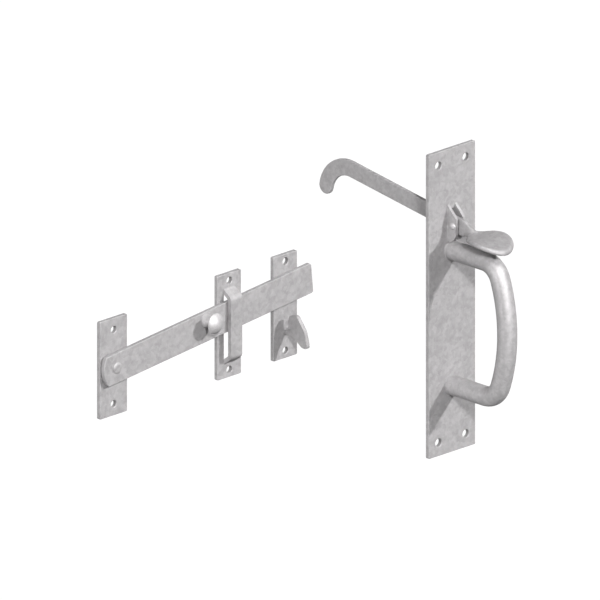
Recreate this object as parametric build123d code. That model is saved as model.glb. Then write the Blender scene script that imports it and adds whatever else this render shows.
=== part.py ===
from build123d import *
import math
import os

os.makedirs("parts", exist_ok=True)

# Suffolk latch, galvanised steel. Millimetres, +Z up, the front faces -Y, X to the right.
# Every plate has its back on the door's face, Y = 0. A standoff is a distance in front of that face.

# Sheet and plates
SHEET = 3.0
PLATE_CORNER = 1.0
EDGE_EASE = 0.35
HANDLE_PLATE_SIZE = (46.0, 225.0)
HANDLE_SCREW_PITCH = (27.0, 205.0)
HANDLE_SCREW_HOLE = 6.0
BAR_PLATE_SIZE = (27.0, 72.0)
BAR_PLATE_AT = (-334.4, 33.9)
BAR_PLATE_SCREW_PITCH = 55.0
BAR_PLATE_SCREW_HOLE = 5.2
CATCH_SIZE = (23.5, 77.0)
CATCH_SCREW_PITCH = 66.0
CATCH_SCREW_HOLE = 5.2
KEEPER_AT = (-220.1, 36.4)
CATCH_AT = (-164.7, 36.6)

# Bow grip
GRIP_D = 14.2
GRIP_PITCH = 100.0
GRIP_MID_Z = -13.0
GRIP_STANDOFF = 57.4
BOW_R = 118.0
BEND_R = 16.0
SPIGOT_D = 9.0
PEEN_D = 11.0
PEEN_DEPTH = 1.0

# Ears and pin of the thumb lever
EAR_T = 2.2
EAR_GAP = 5.0
EAR_FOOT_Z = 44.3
EAR_TOP_Z = 71.2
EAR_FRONT = 11.3
EAR_SHOULDER_Z = 62.7
EAR_FOOT_R = 8.0
EAR_NOSE_R = 0.8
EAR_TAB_H = 15.0
PIVOT_STANDOFF = 8.1
PIVOT_Z = 56.8
PIN_D = 3.5
PIN_HEAD_D = 5.4
PIN_HEAD_H = 1.5

# Thumb lever: a blade on edge, a hooked tail, a neck that flattens into a dished pad
BLADE_T = 3.0
BLADE_H = 12.1
BLADE_TILT = 8.4
BLADE_NOSE = 6.0
BLADE_REACH = 104.9
HOOK_R = 22.5
HOOK_TURN = 88.0
RUNNING = 0.075
LEVER_SLOT_H = 19.5
LEVER_SLOT_Z = 58.25
PAD_LENGTH = 34.8
PAD_WIDTH = 32.4
PAD_STANDOFF = 40.2
PAD_APEX = (35.5, 55.7)
PAD_CURVE_R = 44.0
PAD_T = 3.6
PAD_EDGE_EASE = 1.0
DISH_DEPTH = 0.6
DISH_RIM = 2.8
# Neck sections: standoff, width, height, mid height
NECK_SECTIONS = (
    (13.0, 2.9, 4.0, 52.6),
    (18.0, 5.0, 4.2, 52.9),
    (23.0, 11.0, 4.0, 53.0),
    (28.0, 20.0, 3.4, 53.3),
    (32.0, 24.0, 2.4, 53.7),
)
# Ridge that carries the blade on to the pad: standoff, foot width and height, crest width and height
RIDGE_SECTIONS = (
    (8.0, 2.9, 52.0, 2.9, 62.0),
    (15.3, 2.9, 52.0, 2.9, 61.9),
    (21.0, 6.4, 53.0, 3.0, 58.8),
    (28.6, 11.0, 53.6, 3.2, 54.9),
)

# Latch bar and its pivot
BAR_T = 3.0
BAR_H = 22.3
BAR_TAIL = 13.0
BAR_TAIL_SAG = 3.8
BAR_REACH = 193.6
BAR_TIP_R = 2.0
BAR_TILT = 5.6
BAR_BACK = 3.75
AXLE_D = 6.0
AXLE_HEAD_D = 8.4
AXLE_HEAD_H = 1.2
AXLE_PEEN_D = 8.0
AXIAL_PLAY = 0.15
WASHER_D = 12.0
KNOB_AT = (88.9, 4.6)
KNOB_STANDOFF = 15.4
KNOB_D = 15.4
KNOB_FACE_H = 4.3
KNOB_BACK_H = 1.6
KNOB_RIM_EASE = 0.5
STEM_D = 6.0
STEM_FOOT_D = 10.0
TENON_D = 4.5

# Lanced bridge over the bar. Half spans are those of the strap's middle line.
BRIDGE_W = 11.0
BRIDGE_MID_STANDOFF = 8.7
BRIDGE_ROOT = 26.9
BRIDGE_CROWN = 21.6
BRIDGE_BEND_R = 3.0
BRIDGE_TAIL = 2.0

# Catch hook: corners as standoff and height, each with its rounding
HOOK_T = 3.0
NOTCH_FLOOR_Z = 19.6
NECK_UNDER_Z = 15.9
HOOK_OUTLINE = (
    ((0, NECK_UNDER_Z), 0),
    ((0, NOTCH_FLOOR_Z), 0),
    ((8.1, NOTCH_FLOOR_Z), 0.8),
    ((8.1, 31.0), 1.8),
    ((15.4, 32.4), 3.0),
    ((23.0, 22.4), 12.0),
    ((26.3, 10.0), 2.2),
    ((20.4, 10.2), 2.4),
    ((14.5, 14.4), 8.0),
    ((7.5, 16.6), 6.0),
)

# Side view: local x is the standoff from the door, local y is the height.
SIDE = Plane(origin=(0, 0, 0), x_dir=(0, -1, 0), z_dir=(-1, 0, 0))


def front(standoff, x=0, z=0, angle=0):
    """Front view plane at a standoff: local x is right, local y is up, the normal faces the viewer."""
    return Plane.XZ * Location((x, z, standoff), (0, 0, angle))


def sheet_plate(at, size, holes):
    """Flat plate with eased front edges, its back on the door's face."""
    outline = RectangleRounded(size[0], size[1], PLATE_CORNER) - holes
    plate = extrude(front(0, at[0], at[1]) * outline, SHEET)
    return chamfer(plate.faces().sort_by(Axis.Y)[0].edges(), EDGE_EASE)


def peened_shank(diameter, head_diameter):
    """Shank through one sheet with a flush countersunk head on the door's side."""
    shank = Cylinder(diameter / 2, SHEET, align=(Align.CENTER, Align.CENTER, Align.MIN))
    head = Cone(head_diameter / 2, diameter / 2, PEEN_DEPTH, align=(Align.CENTER, Align.CENTER, Align.MIN))
    return shank + head


def dome(diameter, height):
    """Low spherical rivet head on the XY plane."""
    rim = Line((0, 0), (diameter / 2, 0))
    crown = RadiusArc(rim @ 1, (0, height), (diameter**2 / 4 + height**2) / (-2 * height))
    return revolve(Plane.XZ * make_face([rim, crown, Line(crown @ 1, (0, 0))]), Axis.Z)


def grip_ends():
    """Heights of the two ends of the grip."""
    return [GRIP_MID_Z + GRIP_PITCH / 2, GRIP_MID_Z - GRIP_PITCH / 2]


def handle_plate():
    screw_holes = GridLocations(*HANDLE_SCREW_PITCH, 2, 2) * Circle(HANDLE_SCREW_HOLE / 2)
    plate = sheet_plate((0, 0), HANDLE_PLATE_SIZE, screw_holes)
    lever_slot = front(0, 0, LEVER_SLOT_Z) * Rectangle(EAR_GAP, LEVER_SLOT_H)
    tab_slots = front(0, 0, LEVER_SLOT_Z) * Rectangle(EAR_GAP + 2 * EAR_T, EAR_TAB_H)
    plate -= extrude(lever_slot + tab_slots, SHEET)
    for z in grip_ends():
        plate -= front(0, 0, z) * peened_shank(SPIGOT_D, PEEN_D)
    return plate


def grip_handle():
    swing = math.degrees(math.asin((GRIP_PITCH / 2 - BEND_R) / (BOW_R - BEND_R)))
    arm_length = GRIP_STANDOFF - BOW_R + (BOW_R - BEND_R) * math.cos(math.radians(swing))
    top = Line((SHEET, grip_ends()[0]), (arm_length, grip_ends()[0]))
    upper_bend = JernArc(top @ 1, top % 1, BEND_R, swing - 90)
    bow = JernArc(upper_bend @ 1, upper_bend % 1, BOW_R, -2 * swing)
    lower_bend = JernArc(bow @ 1, bow % 1, BEND_R, swing - 90)
    bottom = Line(lower_bend @ 1, (SHEET, grip_ends()[1]))
    path = SIDE * Wire([top, upper_bend, bow, lower_bend, bottom])
    grip = sweep(front(SHEET, 0, grip_ends()[0]) * Circle(GRIP_D / 2), path)
    for z in grip_ends():
        grip += front(0, 0, z) * peened_shank(SPIGOT_D, PEEN_D)
    return grip


def pivot_ear(hand):
    """Ear with a tab through the plate. hand is -1 for the left ear and 1 for the right."""
    outline = make_face(Polyline(
        (SHEET, EAR_FOOT_Z),
        (EAR_FRONT, EAR_FOOT_Z),
        (EAR_FRONT, EAR_SHOULDER_Z),
        (SHEET, EAR_TOP_Z),
        close=True,
    ))
    nose = outline.vertices().group_by(Axis.X)[-1].sort_by(Axis.Y)
    outline = fillet(nose[0], EAR_FOOT_R)
    outline = fillet(outline.vertices().group_by(Axis.X)[-1].sort_by(Axis.Y)[-1], EAR_NOSE_R)
    tab = Pos(SHEET / 2, LEVER_SLOT_Z) * Rectangle(SHEET, EAR_TAB_H)
    pin_hole = Pos(PIVOT_STANDOFF, PIVOT_Z) * Circle(PIN_D / 2)
    ear = extrude(SIDE * (outline + tab - pin_hole), EAR_T / 2, both=True)
    return Pos(hand * (EAR_GAP + EAR_T) / 2, 0, 0) * ear


def lever_pin():
    grip_length = EAR_GAP + 2 * EAR_T
    pin = Cylinder(PIN_D / 2, grip_length)
    pin += Pos(0, 0, grip_length / 2) * dome(PIN_HEAD_D, PIN_HEAD_H)
    pin += Pos(0, 0, -grip_length / 2) * Rot(180, 0, 0) * dome(PIN_HEAD_D, PIN_HEAD_H)
    return Pos(0, -PIVOT_STANDOFF, PIVOT_Z) * Rot(0, 90, 0) * pin


def lever_blade():
    """Arm and hooked tail, cut from one flat and laid along the lever's tilt."""
    arm = Line((-BLADE_NOSE, 0), (BLADE_REACH, 0))
    bend = JernArc(arm @ 1, arm % 1, HOOK_R, -HOOK_TURN)
    tilt = math.radians(BLADE_TILT)
    along = Plane(
        origin=(0, -PIVOT_STANDOFF, PIVOT_Z),
        x_dir=(0, math.cos(tilt), math.sin(tilt)),
        z_dir=(1, 0, 0),
    )
    blade = extrude(along * SlotArc(Wire([arm, bend]), BLADE_H), BLADE_T / 2, both=True)
    cheeks = blade.faces().sort_by(Axis.X)
    return chamfer(cheeks[0].edges() + cheeks[-1].edges(), EDGE_EASE)


def lever_neck():
    """Forged transition from the blade on edge to the flat pad, with the blade's ridge along its top."""
    sections = []
    for standoff, width, height, mid_z in NECK_SECTIONS:
        corner = 0.3 * min(width, height)
        sections.append(front(standoff, 0, mid_z) * RectangleRounded(width, height, corner))
    ridge = []
    for standoff, foot_w, foot_z, crest_w, crest_z in RIDGE_SECTIONS:
        ridge.append(front(standoff) * make_face(Polyline(
            (-foot_w / 2, foot_z),
            (foot_w / 2, foot_z),
            (crest_w / 2, crest_z),
            (-crest_w / 2, crest_z),
            close=True,
        )))
    return loft(sections) + loft(ridge, ruled=True)


def pad_layer(thickness, margin, sink=0):
    """Elliptical piece of a sheet that is curved along the lever."""
    centre = (PAD_APEX[0], PAD_APEX[1] - PAD_CURVE_R)
    ring = Circle(PAD_CURVE_R - sink) - Circle(PAD_CURVE_R - sink - thickness)
    band = extrude(SIDE * Pos(*centre) * ring, PAD_WIDTH, both=True)
    plan = Pos(0, -PAD_STANDOFF, 0) * Ellipse(PAD_WIDTH / 2 - margin, PAD_LENGTH / 2 - margin)
    return band & extrude(Pos(0, 0, PAD_APEX[1] - PAD_WIDTH / 2) * plan, PAD_WIDTH)


def lever_pad():
    pad = pad_layer(PAD_T, 0)
    pad = chamfer(pad.edges(), PAD_EDGE_EASE)
    return pad - pad_layer(2 * DISH_DEPTH, DISH_RIM, -DISH_DEPTH)


def thumb_lever():
    lever = lever_blade() + lever_neck() + lever_pad()
    pin_hole = Cylinder(PIN_D / 2 + RUNNING, 2 * EAR_GAP)
    return lever - Pos(0, -PIVOT_STANDOFF, PIVOT_Z) * Rot(0, 90, 0) * pin_hole


def bar_plate():
    screw_holes = GridLocations(0, BAR_PLATE_SCREW_PITCH, 1, 2) * Circle(BAR_PLATE_SCREW_HOLE / 2)
    plate = sheet_plate(BAR_PLATE_AT, BAR_PLATE_SIZE, screw_holes)
    return plate - front(0, *BAR_PLATE_AT) * peened_shank(AXLE_D, AXLE_PEEN_D)


def bar_rivet():
    head_at = BAR_BACK + BAR_T + AXIAL_PLAY
    rivet = peened_shank(AXLE_D, AXLE_PEEN_D)
    rivet += Cylinder(AXLE_D / 2, head_at, align=(Align.CENTER, Align.CENTER, Align.MIN))
    rivet += Pos(0, 0, head_at) * dome(AXLE_HEAD_D, AXLE_HEAD_H)
    return front(0, *BAR_PLATE_AT) * rivet


def bar_washer():
    ring = Circle(WASHER_D / 2) - Circle(AXLE_D / 2)
    return extrude(front(SHEET, *BAR_PLATE_AT) * ring, BAR_BACK - SHEET - AXIAL_PLAY)


def on_bar(standoff, x=0, y=0):
    """Front view plane that turns with the bar, its origin on the bar's axle."""
    return front(standoff, *BAR_PLATE_AT, BAR_TILT) * Location((x, y, 0))


def latch_bar():
    half = BAR_H / 2
    shoulder = -BAR_TAIL + BAR_TAIL_SAG
    tail = ThreePointArc((shoulder, half), (-BAR_TAIL, 0), (shoulder, -half))
    sides = Polyline(tail @ 1, (BAR_REACH, -half), (BAR_REACH, half), tail @ 0)
    outline = make_face([tail, sides])
    outline = fillet(outline.vertices().group_by(Axis.X)[-1], BAR_TIP_R)
    outline -= Circle(AXLE_D / 2 + RUNNING)
    outline -= Pos(*KNOB_AT) * Circle(TENON_D / 2)
    bar = extrude(on_bar(BAR_BACK) * outline, BAR_T)
    outer = bar.faces().sort_by(Axis.Y)[0].outer_wire().edges()
    return chamfer(outer, EDGE_EASE)


def bar_knob():
    """Domed button on a flared stem, its tenon riveted in the bar."""
    rim_at = KNOB_STANDOFF - BAR_BACK
    dome_r = (KNOB_D**2 / 4 + KNOB_FACE_H**2) / (2 * KNOB_FACE_H)
    stem = Polyline(
        (0, 0),
        (TENON_D / 2, 0),
        (TENON_D / 2, BAR_T),
        (STEM_FOOT_D / 2, BAR_T),
        (STEM_D / 2, rim_at - KNOB_BACK_H),
    )
    back = Line(stem @ 1, (KNOB_D / 2, rim_at))
    face = RadiusArc(back @ 1, (0, rim_at + KNOB_FACE_H), -dome_r)
    profile = make_face([stem, back, face, Line(face @ 1, stem @ 0)])
    profile = chamfer(profile.vertices().sort_by(Axis.X)[-1], KNOB_RIM_EASE)
    return on_bar(BAR_BACK, *KNOB_AT) * revolve(Plane.XZ * profile, Axis.Z)


def keeper_plate():
    """Plate and bridge are one sheet: the strap is cut free on its long sides and pushed forward."""
    screw_holes = GridLocations(0, CATCH_SCREW_PITCH, 1, 2) * Circle(CATCH_SCREW_HOLE / 2)
    plate = sheet_plate(KEEPER_AT, CATCH_SIZE, screw_holes)
    plate -= extrude(front(0, *KEEPER_AT) * Rectangle(BRIDGE_W, 2 * BRIDGE_ROOT), SHEET)
    half_length = BRIDGE_ROOT + BRIDGE_TAIL
    middle = FilletPolyline(
        (SHEET / 2, half_length),
        (SHEET / 2, BRIDGE_ROOT),
        (BRIDGE_MID_STANDOFF, BRIDGE_CROWN),
        (BRIDGE_MID_STANDOFF, -BRIDGE_CROWN),
        (SHEET / 2, -BRIDGE_ROOT),
        (SHEET / 2, -half_length),
        radius=BRIDGE_BEND_R,
    )
    section = SlotArc(middle, SHEET) & Rectangle(4 * BRIDGE_MID_STANDOFF, 2 * half_length)
    strap = extrude(SIDE * Pos(0, KEEPER_AT[1]) * section, BRIDGE_W / 2, both=True)
    return plate + Pos(KEEPER_AT[0], 0, 0) * strap


def catch_plate():
    screw_holes = GridLocations(0, CATCH_SCREW_PITCH, 1, 2) * Circle(CATCH_SCREW_HOLE / 2)
    plate = sheet_plate(CATCH_AT, CATCH_SIZE, screw_holes)
    slot_z = (NOTCH_FLOOR_Z + NECK_UNDER_Z) / 2
    slot = front(0, CATCH_AT[0], slot_z) * Rectangle(HOOK_T, NOTCH_FLOOR_Z - NECK_UNDER_Z)
    return plate - extrude(slot, SHEET)


def catch_hook():
    """Flat hook on edge: a neck under the notch for the bar, and a ramp that lifts the bar over it."""
    outline = make_face(Polyline(*[corner for corner, _ in HOOK_OUTLINE], close=True))
    for corner, radius in HOOK_OUTLINE:
        if radius:
            outline = fillet(outline.vertices().sort_by_distance(corner)[0], radius)
    return Pos(CATCH_AT[0], 0, 0) * extrude(SIDE * outline, HOOK_T / 2, both=True)


PARTS = {
    "handle_plate": handle_plate(),
    "grip_handle": grip_handle(),
    "pivot_ear_left": pivot_ear(-1),
    "pivot_ear_right": pivot_ear(1),
    "lever_pin": lever_pin(),
    "thumb_lever": thumb_lever(),
    "bar_plate": bar_plate(),
    "bar_rivet": bar_rivet(),
    "bar_washer": bar_washer(),
    "latch_bar": latch_bar(),
    "bar_knob": bar_knob(),
    "keeper_plate": keeper_plate(),
    "catch_plate": catch_plate(),
    "catch_hook": catch_hook(),
}

for node, solid in PARTS.items():
    export_step(solid, f"parts/{node}.step")
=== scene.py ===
import math

import bmesh
import bpy
import numpy as np
from bpy.props import FloatProperty, FloatVectorProperty, IntProperty, PointerProperty
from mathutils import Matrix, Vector


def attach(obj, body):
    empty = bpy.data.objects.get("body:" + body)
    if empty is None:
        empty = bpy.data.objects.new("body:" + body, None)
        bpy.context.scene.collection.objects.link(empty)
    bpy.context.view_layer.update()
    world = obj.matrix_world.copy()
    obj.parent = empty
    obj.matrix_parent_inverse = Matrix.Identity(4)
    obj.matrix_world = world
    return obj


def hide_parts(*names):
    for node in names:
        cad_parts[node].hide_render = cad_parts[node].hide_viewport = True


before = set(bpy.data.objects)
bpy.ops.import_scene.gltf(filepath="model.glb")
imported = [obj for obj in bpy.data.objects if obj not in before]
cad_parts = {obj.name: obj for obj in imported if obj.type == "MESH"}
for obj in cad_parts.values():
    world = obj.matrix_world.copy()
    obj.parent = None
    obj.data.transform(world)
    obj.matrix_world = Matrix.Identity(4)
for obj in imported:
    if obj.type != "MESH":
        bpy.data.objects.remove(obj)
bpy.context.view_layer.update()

bl_info = {
    "name": "Suffolk Latch",
    "version": (1, 0, 0),
    "blender": (4, 5, 0),
    "location": "View3D > Sidebar > Latch",
    "description": "Forges and galvanises a suffolk latch and sets its studio",
    "category": "Object",
}

MM = 0.001
PHOTO_SIDE = 600

# Sizes and places of the solids, in millimetres, and the bar's tilt, in radians.
# A standoff is a distance from the door, and Z is a height.
PLATE_STANDOFF = 3.0
BAR_STANDOFF = 6.75
RIVET_HEAD_STANDOFF = 6.9
GRIP_END_Z = (37.0, -63.0)
GRIP_RADIUS = 7.1
LEVER_PIVOT_STANDOFF, LEVER_PIVOT_Z = 8.1, 56.8
EAR_CHEEK_X = 4.7
BAR_PIVOT_X, BAR_PIVOT_Z = -334.4, 33.9
BAR_TILT = math.radians(5.6)
KNOB_ALONG_BAR, KNOB_ABOVE_MIDDLE = 88.9, 4.6
KNOB_FOOT_RADIUS = 5.0
HOOK_X = -164.7
HOOK_HALF_THICKNESS = 1.5
HOOK_NECK_Z = (15.9, 19.6)

# How the copies of the solids are worked, in metres and degrees.
WELD = 0.002 * MM
RIVET_CREASE = 15.0

# How the forging is softened: a little all over, then more towards the pad, from nothing to full over
# each range, in millimetres. Its hole keeps at least the last value as its radius, in millimetres.
RELAX_STEP = 0.5
ALL_OVER_ROUNDS = 3
ALL_OVER_SHARE = 0.6
PAD_FROM_STANDOFF = (11.0, 16.0)
PAD_FROM_Z = (44.0, 48.0)
PAD_CREST_SHARE = 0.12
PIN_HOLE_RADIUS = 1.88

# How the zinc in the corners is drawn: two counts, two lengths in metres, and its ends beside the ears'
# feet, as heights in millimetres.
RING_STEPS = 48
BEAD_SIDES = 10
BEAD_STEP = 0.5 * MM
BEAD_SWELL = 2.5 * MM
EAR_BEAD_Z = (45.0, 70.4)

# The zinc's patches against its bloom, and its fine grain in metres.
CRYSTAL_SHARE = 0.3
GRAIN_SIZE = 0.8 * MM
GRAIN_HEIGHT = 0.02 * MM

# The studio, in metres.
FLOOR_HALF = 1.6
FLOOR_MIDDLE_X = -0.17
CAMERA_DISTANCE = 1.2
CAMERA_CLIP = (0.05, 20.0)

WHITE = (1, 1, 1, 1)


def linear(hex_colour):
    """sRGB hex to the linear colour that shaders take."""
    channels = [int(hex_colour[i:i + 2], 16) / 255 for i in (1, 3, 5)]
    curve = [c / 12.92 if c <= 0.04045 else ((c + 0.055) / 1.055) ** 2.4 for c in channels]
    return (*curve, 1.0)


def add_node(tree, kind, inputs=None, **settings):
    """Adds a node. inputs maps a socket's name or number to a value or to another node's output."""
    node = tree.nodes.new(kind)
    for name, value in settings.items():
        setattr(node, name, value)
    for key, value in (inputs or {}).items():
        if isinstance(value, bpy.types.NodeSocket):
            tree.links.new(value, node.inputs[key])
        else:
            node.inputs[key].default_value = value
    return node


def colour_setting(name, hex_colour, description):
    return FloatVectorProperty(
        name=name, description=description, default=linear(hex_colour), size=4, min=0.0, max=1.0,
        subtype="COLOR")


def share_setting(name, share, description, most=1.0):
    return FloatProperty(
        name=name, description=description, default=share, min=0.0, max=most, subtype="FACTOR")


def length_setting(name, length, description, **limits):
    return FloatProperty(
        name=name, description=description, default=length, precision=5, unit="LENGTH", **limits)


def lamp_setting(name, strength, description):
    return FloatProperty(name=name, description=description, default=strength, min=0.0)


class LatchFinish(bpy.types.PropertyGroup):
    """Zinc coating of the latch's steel."""

    sheet_light: colour_setting("Sheet, light", "#B5B3B4", "Paler zinc crystals on the sheet parts")
    sheet_dark: colour_setting("Sheet, dark", "#A09E9F", "Duller zinc crystals on the sheet parts")
    bar_light: colour_setting("Grip, light", "#B7B5B6", "Paler zinc crystals on the grip")
    bar_dark: colour_setting("Grip, dark", "#A3A1A2", "Duller zinc crystals on the grip")
    forging_light: colour_setting("Lever, light", "#AFADAE", "Paler zinc crystals on the forged lever")
    forging_dark: colour_setting("Lever, dark", "#9C9A9B", "Duller zinc crystals on the forged lever")
    pin_light: colour_setting("Pins, light", "#C6C4C5", "Bright plating on pin, washer and knob")
    pin_dark: colour_setting("Pins, dark", "#B2B0B1", "Dulled plating on pin, washer and knob")
    spangle: length_setting("Spangle", 2.6 * MM, "Size of a zinc crystal", min=0.5 * MM)
    lump_height: length_setting("Lumps", 0.09 * MM, "Height of the lumps and runs in the zinc", min=0.0)
    sheet_roughness: share_setting("Sheet roughness", 0.5, "Roughness of the zinc on sheet and lever")
    bar_roughness: share_setting("Grip roughness", 0.42, "Roughness of the zinc on the grip")
    pin_roughness: share_setting("Pin roughness", 0.36, "Roughness of the plated pin, washer and knob")
    metallic: share_setting("Metallic", 0.15, "How much bare zinc shows through its grey oxide")
    edge_tint: share_setting("Edge tint", 0.15, "How bright the zinc stays where it is seen edge on")


class LatchForms(bpy.types.PropertyGroup):
    """Sizes of the forged and galvanised forms."""

    forging_grain: length_setting(
        "Forging detail", 0.45 * MM, "Size of the finest form that the forged lever keeps", min=0.35 * MM)
    forging_blend: IntProperty(
        name="Forging blend", description="How far the hollows round the thumb pad are filled", default=140,
        min=0, max=400)
    rivet_height: length_setting(
        "Rivet height", 0.7 * MM, "Height to which the head of the bar's rivet is hammered", min=0.3 * MM,
        max=1.2 * MM)
    bead_radius: length_setting(
        "Zinc in corners", 0.4 * MM, "Radius of the zinc that lies in the corners", min=0.2 * MM)
    bead_unevenness: share_setting("Unevenness", 0.35, "How uneven that zinc is along its length", most=0.9)
    bead_seed: IntProperty(name="Seed", description="Fixed seed of that unevenness", default=7)


class LatchStage(bpy.types.PropertyGroup):
    """Camera, lamps and floor."""

    azimuth: FloatProperty(
        name="Azimuth", description="Camera's azimuth, from straight ahead", default=math.radians(-45.0),
        subtype="ANGLE")
    elevation: FloatProperty(
        name="Elevation", description="Camera's height above the horizon", default=math.radians(19.4712),
        subtype="ANGLE")
    view_width: FloatProperty(
        name="View width", description="Width of the camera's view", default=0.41914, unit="LENGTH")
    origin_px: FloatVectorProperty(
        name="Origin in picture", description="Where the origin falls, in pixels from the top left",
        default=(449.15, 298.8), size=2)
    key_strength: lamp_setting("Key lamp", 2.75, "Strength of the lamp at the upper right")
    second_strength: lamp_setting("Second lamp", 2.05, "Strength of the lamp at the upper left")
    side_strength: lamp_setting("Side lamp", 1.7, "Strength of the soft lamp at the left")
    back_strength: lamp_setting("Back lamp", 1.5, "Strength of the soft lamp behind the latch")
    sheen_strength: lamp_setting("Front softbox", 7.5, "Strength of the softbox in front, for gloss alone")
    crown_strength: lamp_setting("Top softbox", 0.9, "Strength of the softbox on top, for gloss alone")
    ambient: lamp_setting("Ambient", 0.04, "Strength of the plain surrounding light")
    floor_colour: colour_setting("Floor", "#3A3A3A", "Colour of the floor")
    floor_drop: FloatProperty(
        name="Floor height", description="Height of the floor against the origin", default=-0.45,
        unit="LENGTH")


def zinc(name, light, dark, crystal, roughness, gloss_swing, metallic, lump, edge_tint):
    """Zinc coat: patches of crystal in two greys, a cloudy bloom of oxide, small lumps and a fine grain."""
    made = bpy.data.materials.new(name)
    made.use_nodes = True
    tree = made.node_tree
    tree.nodes.clear()
    place = add_node(tree, "ShaderNodeTexCoord").outputs["Object"]
    wander = add_node(tree, "ShaderNodeTexNoise", {"Vector": place, "Scale": 0.6 / crystal, "Detail": 2.0})
    off = add_node(tree, "ShaderNodeVectorMath", {0: wander.outputs["Color"], 1: (0.5, 0.5, 0.5)},
                   operation="SUBTRACT")
    bent = add_node(tree, "ShaderNodeVectorMath", {
        0: off.outputs[0], 1: (1.2 * crystal,) * 3, 2: place}, operation="MULTIPLY_ADD").outputs[0]
    crystals = add_node(tree, "ShaderNodeTexVoronoi", {
        "Vector": bent, "Scale": 1 / crystal, "Randomness": 1.0})
    shade = add_node(tree, "ShaderNodeSeparateColor", {0: crystals.outputs["Color"]}).outputs["Red"]
    bloom = add_node(tree, "ShaderNodeTexNoise", {
        "Vector": place, "Scale": 0.45 / crystal, "Detail": 5.0, "Roughness": 0.65}).outputs["Fac"]
    both = add_node(tree, "ShaderNodeMath", {
        0: shade, 1: CRYSTAL_SHARE, 2: bloom}, operation="MULTIPLY_ADD").outputs[0]
    tone = add_node(tree, "ShaderNodeMapRange", {
        "Value": both, "From Min": 0.4, "From Max": 0.9}).outputs[0]
    colour = add_node(tree, "ShaderNodeMix", {0: tone, 6: dark, 7: light}, data_type="RGBA").outputs[2]
    gloss = add_node(tree, "ShaderNodeMapRange", {
        "Value": shade, "To Min": roughness - gloss_swing, "To Max": roughness + gloss_swing}).outputs[0]
    runs = add_node(tree, "ShaderNodeTexNoise", {
        "Vector": place, "Scale": 0.55 / crystal, "Detail": 1.0, "Roughness": 0.4}).outputs["Fac"]
    lumps = add_node(tree, "ShaderNodeMapRange", {
        "Value": runs, "From Min": 0.56, "From Max": 0.74}, interpolation_type="SMOOTHSTEP").outputs[0]
    grain = add_node(tree, "ShaderNodeTexNoise", {
        "Vector": place, "Scale": 1 / GRAIN_SIZE, "Detail": 3.0, "Roughness": 0.6}).outputs["Fac"]
    raised = add_node(tree, "ShaderNodeBump", {
        "Height": lumps, "Strength": 1.0, "Distance": lump}).outputs[0]
    skin = add_node(tree, "ShaderNodeBump", {
        "Height": grain, "Strength": 0.6, "Distance": GRAIN_HEIGHT, "Normal": raised}).outputs[0]
    shader = add_node(tree, "ShaderNodeBsdfPrincipled", {
        "Base Color": colour, "Metallic": metallic, "Roughness": gloss, "Specular IOR Level": 0.02,
        "Specular Tint": (edge_tint, edge_tint, edge_tint, 1.0), "Normal": skin})
    add_node(tree, "ShaderNodeOutputMaterial", {"Surface": shader.outputs["BSDF"]})
    return made


def sheet_zinc(finish):
    """Galvanised mild steel sheet: a dull, even grey with faint crystal patches and a few raised specks."""
    return bpy.data.materials.get("galvanised_sheet") or zinc(
        "galvanised_sheet", light=finish.sheet_light, dark=finish.sheet_dark, crystal=finish.spangle,
        roughness=finish.sheet_roughness, gloss_swing=0.05, metallic=finish.metallic,
        lump=finish.lump_height, edge_tint=finish.edge_tint)


def bar_zinc(finish):
    """Galvanised round bar: thinner zinc, so a little brighter and smoother than the sheet."""
    return bpy.data.materials.get("galvanised_bar") or zinc(
        "galvanised_bar", light=finish.bar_light, dark=finish.bar_dark, crystal=0.8 * finish.spangle,
        roughness=finish.bar_roughness, gloss_swing=0.04, metallic=1.3 * finish.metallic,
        lump=0.7 * finish.lump_height, edge_tint=finish.edge_tint)


def forging_zinc(finish):
    """Galvanised forging: the scale under the zinc leaves it the dullest and darkest of the finishes."""
    return bpy.data.materials.get("galvanised_forging") or zinc(
        "galvanised_forging", light=finish.forging_light, dark=finish.forging_dark,
        crystal=0.8 * finish.spangle, roughness=finish.sheet_roughness, gloss_swing=0.04,
        metallic=finish.metallic, lump=0.7 * finish.lump_height, edge_tint=finish.edge_tint)


def pin_zinc(finish):
    """Bright zinc plate on turned steel: the brightest and smoothest finish, worn by handling."""
    return bpy.data.materials.get("zinc_plated_pin") or zinc(
        "zinc_plated_pin", light=finish.pin_light, dark=finish.pin_dark, crystal=0.5 * finish.spangle,
        roughness=finish.pin_roughness, gloss_swing=0.03, metallic=1.1 * finish.metallic,
        lump=0.2 * finish.lump_height, edge_tint=finish.edge_tint)


def dress(nodes, material):
    """Puts the finish on CAD nodes, whose meshes stay as they are."""
    for name in nodes:
        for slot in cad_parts[name].material_slots:
            slot.material = material


def merged_copy(name, node):
    """New object with a copy of a CAD node's mesh, its split corners merged and its material dropped."""
    piece = bpy.data.objects.new(name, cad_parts[node].data.copy())
    piece.data.materials.clear()
    bpy.context.scene.collection.objects.link(piece)
    shell = bmesh.new()
    shell.from_mesh(piece.data)
    bmesh.ops.remove_doubles(shell, verts=shell.verts, dist=WELD)
    shell.to_mesh(piece.data)
    shell.free()
    return piece


def apply_modifiers(piece):
    """Turns a piece with live modifiers into a plain mesh object of the same name."""
    bpy.context.view_layer.update()
    mesh = bpy.data.meshes.new_from_object(piece.evaluated_get(bpy.context.evaluated_depsgraph_get()))
    piece.modifiers.clear()
    piece.data = mesh


def smooth_step(values, low, high):
    """0 below low, 1 above high, and a soft rise between them."""
    share = np.clip((values - low) / (high - low), 0.0, 1.0)
    return share * share * (3 - 2 * share)


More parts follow.
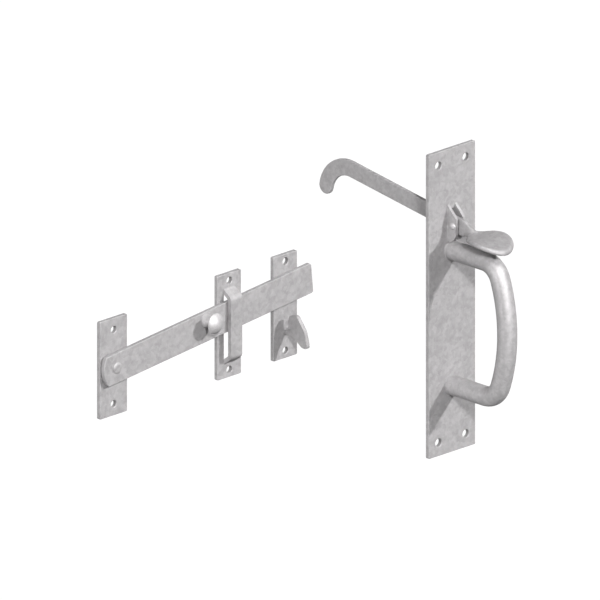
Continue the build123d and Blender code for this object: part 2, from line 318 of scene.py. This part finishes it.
def vertex_normals(points, quads):
    """Normals from the diagonals of the faces."""
    across = points[quads[:, 2]] - points[quads[:, 0]]
    facing = np.cross(across, points[quads[:, 3]] - points[quads[:, 1]])
    total = np.zeros_like(points)
    for axis in range(3):
        shares = np.repeat(facing[:, axis], 4)
        total[:, axis] = np.bincount(quads.ravel(), weights=shares, minlength=len(points))
    return total / np.maximum(np.linalg.norm(total, axis=1, keepdims=True), 1e-12)


def relax(points, edges, quads, rounds, hollow, crest):
    """Moves each point towards its neighbours' middle: outwards by hollow, inwards by crest."""
    ends = np.concatenate([edges, edges[:, ::-1]])
    count = np.bincount(ends[:, 0], minlength=len(points))[:, None]
    for _ in range(rounds):
        middle = np.zeros_like(points)
        for axis in range(3):
            pull = points[ends[:, 1], axis]
            middle[:, axis] = np.bincount(ends[:, 0], weights=pull, minlength=len(points))
        step = middle / count - points
        normals = vertex_normals(points, quads)
        along = (step * normals).sum(axis=1, keepdims=True)
        share = np.where(along > 0, hollow[:, None], crest[:, None])
        points = points + RELAX_STEP * share * along * normals
    return points


class LATCH_OT_sheet_finish(bpy.types.Operator):
    """Hot-dip galvanised sheet on the plates, ears, bar and hook"""

    bl_idname = "latch.sheet_finish"
    bl_label = "Galvanise Sheet Parts"

    def execute(self, context):
        dress(["handle_plate", "pivot_ear_left", "pivot_ear_right", "bar_plate", "latch_bar", "keeper_plate",
               "catch_plate", "catch_hook"], sheet_zinc(context.scene.latch_finish))
        return {"FINISHED"}


class LATCH_OT_grip_finish(bpy.types.Operator):
    """Galvanised round bar on the bow grip"""

    bl_idname = "latch.grip_finish"
    bl_label = "Galvanise Grip"

    def execute(self, context):
        dress(["grip_handle"], bar_zinc(context.scene.latch_finish))
        return {"FINISHED"}


class LATCH_OT_pin_finish(bpy.types.Operator):
    """Bright plating on the lever's pin, the washer and the knob"""

    bl_idname = "latch.pin_finish"
    bl_label = "Plate Pin and Knob"

    def execute(self, context):
        dress(["lever_pin", "bar_washer", "bar_knob"], pin_zinc(context.scene.latch_finish))
        return {"FINISHED"}


class LATCH_OT_hammer_rivet(bpy.types.Operator):
    """Rivet of the bar with its head hammered flat and dipped with the bar"""

    bl_idname = "latch.hammer_rivet"
    bl_label = "Hammer Rivet"

    def execute(self, context):
        finish, forms = context.scene.latch_finish, context.scene.latch_forms
        rivet = merged_copy("hammered_bar_rivet", "bar_rivet")
        flat = -RIVET_HEAD_STANDOFF * MM - forms.rivet_height
        for point in rivet.data.vertices:
            point.co.y = max(point.co.y, flat)
        rivet.data.update()
        rivet.data.materials.append(sheet_zinc(finish))
        rivet.data.shade_smooth()
        rivet.data.set_sharp_from_angle(angle=math.radians(RIVET_CREASE))
        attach(rivet, "fixed")
        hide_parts("bar_rivet")
        return {"FINISHED"}


class LATCH_OT_forge_lever(bpy.types.Operator):
    """Thumb lever with the soft, flowing joins of a forging between blade, neck and dished pad"""

    bl_idname = "latch.forge_lever"
    bl_label = "Forge Thumb Lever"

    def execute(self, context):
        forms = context.scene.latch_forms
        lever = merged_copy("forged_thumb_lever", "thumb_lever")
        skin = lever.modifiers.new("skin", "REMESH")
        skin.mode = "VOXEL"
        skin.voxel_size = forms.forging_grain
        apply_modifiers(lever)
        self.soften(lever.data, forms)
        lever.data.materials.append(forging_zinc(context.scene.latch_finish))
        lever.data.shade_smooth()
        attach(lever, "lever")
        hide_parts("thumb_lever")
        return {"FINISHED"}

    def soften(self, mesh, forms):
        """Takes the voxels' steps off all over, and fills the hollows round the neck and pad."""
        points = np.empty(3 * len(mesh.vertices))
        mesh.vertices.foreach_get("co", points)
        points = points.reshape(-1, 3).astype(float)
        edges = np.empty(2 * len(mesh.edges), dtype=np.int64)
        mesh.edges.foreach_get("vertices", edges)
        edges = edges.reshape(-1, 2)
        corners = [tuple(face.vertices) for face in mesh.polygons]
        quads = np.array([face if len(face) == 4 else (*face, face[2]) for face in corners], dtype=np.int64)
        all_over = np.full(len(points), ALL_OVER_SHARE)
        points = relax(points, edges, quads, ALL_OVER_ROUNDS, all_over, all_over)
        standoff, height = -points[:, 1] / MM, points[:, 2] / MM
        pad = smooth_step(standoff, *PAD_FROM_STANDOFF) * smooth_step(height, *PAD_FROM_Z)
        points = relax(points, edges, quads, forms.forging_blend, pad, PAD_CREST_SHARE * pad)
        self.clear_pin_hole(points)
        mesh.vertices.foreach_set("co", points.ravel())
        mesh.update()

    def clear_pin_hole(self, points):
        """Moves points out to the hole's wall, so that it keeps its clearance round the pin."""
        hole = PIN_HOLE_RADIUS * MM
        centre = np.array([-LEVER_PIVOT_STANDOFF, LEVER_PIVOT_Z]) * MM
        arm = points[:, 1:] - centre
        reach = np.linalg.norm(arm, axis=1)
        inside = reach < hole
        points[inside, 1:] = centre + arm[inside] * (hole / reach[inside])[:, None]


class LATCH_OT_pool_zinc(bpy.types.Operator):
    """Zinc that gathers in the corners when the latch is dipped: grip ends, ears, hook and knob"""

    bl_idname = "latch.pool_zinc"
    bl_label = "Pool Zinc in Corners"

    def execute(self, context):
        finish = context.scene.latch_finish
        on_plates = [self.ring((0, -PLATE_STANDOFF, z), (1, 0, 0), (0, 0, 1), GRIP_RADIUS)
                     for z in GRIP_END_Z]
        for side in (-1, 1):
            on_plates.append(self.foot_line(side * EAR_CHEEK_X, EAR_BEAD_Z))
            on_plates.append(self.foot_line(HOOK_X + side * HOOK_HALF_THICKNESS, HOOK_NECK_Z))
        along = Vector((math.cos(BAR_TILT), 0, math.sin(BAR_TILT)))
        across = Vector((-math.sin(BAR_TILT), 0, math.cos(BAR_TILT)))
        knob = Vector((BAR_PIVOT_X, -BAR_STANDOFF, BAR_PIVOT_Z))
        knob += along * KNOB_ALONG_BAR + across * KNOB_ABOVE_MIDDLE
        on_bar = [self.ring(knob, along, across, KNOB_FOOT_RADIUS)]
        self.pool("pooled_zinc_on_plates", on_plates, "fixed", "sheet", sheet_zinc(finish), 1.0)
        self.pool("pooled_zinc_on_bar", on_bar, "bar", "sheet", sheet_zinc(finish), 0.8)
        return {"FINISHED"}

    def ring(self, centre, right, up, radius):
        """Closed path of points round a centre, in millimetres."""
        points = []
        for step in range(RING_STEPS + 1):
            angle = 2 * math.pi * (step % RING_STEPS) / RING_STEPS
            spoke = math.cos(angle) * Vector(right) + math.sin(angle) * Vector(up)
            points.append(Vector(centre) + radius * spoke)
        return points

    def foot_line(self, x, heights):
        """Straight upright path on the front of a plate, in millimetres."""
        return [Vector((x, -PLATE_STANDOFF, z)) for z in heights]

    def pool(self, name, paths, body, slot, material, share):
        """Makes one piece of the beads along the paths. share is its part of the set radius."""
        forms = bpy.context.scene.latch_forms
        mesh = bpy.data.meshes.new(name)
        wires = bmesh.new()
        for path in paths:
            closed = path[0] == path[-1]
            corners = [wires.verts.new(point * MM) for point in (path[:-1] if closed else path)]
            for start, end in zip(corners, corners[1:] + ([corners[0]] if closed else [])):
                wires.edges.new((start, end))
        wires.to_mesh(mesh)
        wires.free()
        piece = bpy.data.objects.new(name, mesh)
        bpy.context.scene.collection.objects.link(piece)
        beads = piece.modifiers.new("beads", "NODES")
        beads.node_group = self.bead_tree(material)
        sockets = {item.name: item.identifier for item in beads.node_group.interface.items_tree
                   if item.item_type == "SOCKET" and item.in_out == "INPUT"}
        beads[sockets["Radius"]] = share * forms.bead_radius
        beads[sockets["Unevenness"]] = forms.bead_unevenness
        beads[sockets["Seed"]] = forms.bead_seed
        apply_modifiers(piece)
        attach(piece, body)

    def bead_tree(self, material):
        """Geometry Nodes: a round bead of wandering thickness along each path."""
        tree = bpy.data.node_groups.new("zinc_bead", "GeometryNodeTree")
        tree.interface.new_socket("Paths", in_out="INPUT", socket_type="NodeSocketGeometry")
        tree.interface.new_socket("Radius", in_out="INPUT", socket_type="NodeSocketFloat")
        tree.interface.new_socket("Unevenness", in_out="INPUT", socket_type="NodeSocketFloat")
        tree.interface.new_socket("Seed", in_out="INPUT", socket_type="NodeSocketInt")
        tree.interface.new_socket("Beads", in_out="OUTPUT", socket_type="NodeSocketGeometry")
        given = add_node(tree, "NodeGroupInput").outputs
        curve = add_node(tree, "GeometryNodeMeshToCurve", {"Mesh": given["Paths"]})
        even = add_node(tree, "GeometryNodeResampleCurve", {"Curve": curve.outputs[0], "Length": BEAD_STEP},
                        mode="LENGTH")
        place = add_node(tree, "GeometryNodeInputPosition")
        noise = add_node(tree, "ShaderNodeTexNoise", {
            "Vector": place.outputs[0], "W": given["Seed"], "Scale": 1 / BEAD_SWELL, "Detail": 1.0},
            noise_dimensions="4D")
        swing = add_node(tree, "ShaderNodeMapRange", {
            "Value": noise.outputs["Fac"], "From Min": 0.3, "From Max": 0.7, "To Min": -1.0, "To Max": 1.0})
        thick = add_node(tree, "ShaderNodeMath", {0: swing.outputs[0], 1: given["Unevenness"], 2: 1.0},
                         operation="MULTIPLY_ADD")
        shaped = add_node(tree, "GeometryNodeSetCurveRadius", {
            "Curve": even.outputs[0], "Radius": thick.outputs[0]})
        section = add_node(tree, "GeometryNodeCurvePrimitiveCircle", {
            "Resolution": BEAD_SIDES, "Radius": given["Radius"]})
        tube = add_node(tree, "GeometryNodeCurveToMesh", {
            "Curve": shaped.outputs[0], "Profile Curve": section.outputs[0], "Fill Caps": True})
        soft = add_node(tree, "GeometryNodeSetShadeSmooth", {0: tube.outputs[0]})
        real = add_node(tree, "GeometryNodeRealizeInstances", {0: soft.outputs[0]})
        coated = add_node(tree, "GeometryNodeSetMaterial", {
            "Geometry": real.outputs[0], "Material": material})
        add_node(tree, "NodeGroupOutput", {0: coated.outputs[0]})
        return tree


class LATCH_OT_stage(bpy.types.Operator):
    """Floor, lamps, white surroundings and the camera at the photograph's angle"""

    bl_idname = "latch.stage"
    bl_label = "Set the Studio"

    def execute(self, context):
        stage = context.scene.latch_stage
        context.scene.view_settings.view_transform = "Standard"
        self.lay_floor(stage)
        self.hang_lamps(stage)
        self.surround(context.scene, stage)
        self.set_camera(context.scene, stage)
        return {"FINISHED"}

    def backdrop_seen(self, tree):
        """1 where the camera, a reflection or a view through glass looks straight at the backdrop."""
        ray = add_node(tree, "ShaderNodeLightPath").outputs
        seen = add_node(tree, "ShaderNodeMath", {0: ray["Is Camera Ray"], 1: ray["Is Glossy Ray"]},
                        operation="MAXIMUM")
        return add_node(tree, "ShaderNodeMath", {0: seen.outputs[0], 1: ray["Is Transmission Ray"]},
                        operation="MAXIMUM").outputs[0]

    def lay_floor(self, stage):
        """Floor that keeps the shadow and shows white to the camera."""
        corners = [(FLOOR_MIDDLE_X + x * FLOOR_HALF, y * FLOOR_HALF, stage.floor_drop)
                   for x, y in ((-1, -1), (1, -1), (1, 1), (-1, 1))]
        mesh = bpy.data.meshes.new("floor")
        mesh.from_pydata(corners, [], [(0, 1, 2, 3)])
        floor = bpy.data.objects.new("floor", mesh)
        bpy.context.scene.collection.objects.link(floor)
        paint = bpy.data.materials.new("floor_paint")
        paint.use_nodes = True
        tree = paint.node_tree
        tree.nodes.clear()
        matt = add_node(tree, "ShaderNodeBsdfDiffuse", {"Color": stage.floor_colour})
        white = add_node(tree, "ShaderNodeEmission", {"Color": WHITE, "Strength": self.backdrop_seen(tree)})
        both = add_node(tree, "ShaderNodeAddShader", {0: matt.outputs[0], 1: white.outputs[0]})
        add_node(tree, "ShaderNodeOutputMaterial", {"Surface": both.outputs[0]})
        mesh.materials.append(paint)

    def hang_lamps(self, stage):
        """Each row: name, strength, direction towards the lamp, width in degrees, and what it lights."""
        lamps = (
            ("key_lamp", stage.key_strength, (0.645, -1.0, 0.665), 4.0, True, False),
            ("second_lamp", stage.second_strength, (-0.72, -1.0, 0.72), 5.0, True, False),
            ("side_lamp", stage.side_strength, (-1.0, 0.0, 0.1), 25.0, True, True),
            ("back_lamp", stage.back_strength, (0.35, 1.0, 0.2), 25.0, True, True),
            ("front_softbox", stage.sheen_strength, (-0.2, -0.8, 0.5), 75.0, False, True),
            ("top_softbox", stage.crown_strength, (0.667, -0.25, 0.735), 40.0, False, True),
        )
        for name, strength, towards, softness, lights_matt, lights_gloss in lamps:
            lamp = bpy.data.lights.new(name, "SUN")
            lamp.energy = strength
            lamp.angle = math.radians(softness)
            holder = bpy.data.objects.new(name, lamp)
            holder.rotation_mode = "QUATERNION"
            holder.rotation_quaternion = (-Vector(towards)).to_track_quat("-Z", "Y")
            holder.location = Vector(towards)
            holder.visible_diffuse = lights_matt
            holder.visible_glossy = lights_gloss
            bpy.context.scene.collection.objects.link(holder)

    def surround(self, scene, stage):
        """World that is white to the camera and in reflections, and gives little light."""
        world = bpy.data.worlds.new("white_room")
        world.use_nodes = True
        tree = world.node_tree
        tree.nodes.clear()
        level = add_node(tree, "ShaderNodeMix", {0: self.backdrop_seen(tree), 2: stage.ambient, 3: 1.0},
                         data_type="FLOAT")
        sky = add_node(tree, "ShaderNodeBackground", {"Color": WHITE, "Strength": level.outputs[0]})
        add_node(tree, "ShaderNodeOutputWorld", {"Surface": sky.outputs[0]})
        scene.world = world

    def set_camera(self, scene, stage):
        """Camera in parallel projection that puts the origin on its place in the picture."""
        azimuth, elevation = stage.azimuth, stage.elevation
        back = Vector((math.sin(azimuth) * math.cos(elevation), -math.cos(azimuth) * math.cos(elevation),
                       math.sin(elevation)))
        turn = (-back).to_track_quat("-Z", "Y")
        right, up = turn @ Vector((1, 0, 0)), turn @ Vector((0, 1, 0))
        metre_per_px = stage.view_width / PHOTO_SIDE
        middle = PHOTO_SIDE / 2
        offset_px = right * (middle - stage.origin_px[0]) + up * (stage.origin_px[1] - middle)
        lens = bpy.data.cameras.new("photo_camera")
        lens.type = "ORTHO"
        lens.ortho_scale = stage.view_width
        lens.clip_start, lens.clip_end = CAMERA_CLIP
        camera = bpy.data.objects.new("photo_camera", lens)
        camera.rotation_mode = "QUATERNION"
        camera.rotation_quaternion = turn
        camera.location = offset_px * metre_per_px + back * CAMERA_DISTANCE
        scene.collection.objects.link(camera)
        scene.camera = camera


STEPS = (
    LATCH_OT_sheet_finish,
    LATCH_OT_grip_finish,
    LATCH_OT_pin_finish,
    LATCH_OT_hammer_rivet,
    LATCH_OT_forge_lever,
    LATCH_OT_pool_zinc,
    LATCH_OT_stage,
)


class LATCH_PT_panel(bpy.types.Panel):
    """Lists the latch's settings and steps."""

    bl_idname = "LATCH_PT_panel"
    bl_label = "Suffolk Latch"
    bl_space_type = "VIEW_3D"
    bl_region_type = "UI"
    bl_category = "Latch"

    def draw(self, context):
        scene = context.scene
        for group in (scene.latch_finish, scene.latch_forms, scene.latch_stage):
            box = self.layout.box()
            for name in group.__annotations__:
                box.prop(group, name)
        for step in STEPS:
            self.layout.operator(step.bl_idname)


CLASSES = (LatchFinish, LatchForms, LatchStage, *STEPS, LATCH_PT_panel)


def register():
    for each in CLASSES:
        bpy.utils.register_class(each)
    bpy.types.Scene.latch_finish = PointerProperty(type=LatchFinish)
    bpy.types.Scene.latch_forms = PointerProperty(type=LatchForms)
    bpy.types.Scene.latch_stage = PointerProperty(type=LatchStage)


def unregister():
    del bpy.types.Scene.latch_stage
    del bpy.types.Scene.latch_forms
    del bpy.types.Scene.latch_finish
    for each in reversed(CLASSES):
        bpy.utils.unregister_class(each)


def main():
    register()
    for step in STEPS:
        family, name = step.bl_idname.split(".")
        getattr(getattr(bpy.ops, family), name)()


if __name__ == "__main__":
    main()
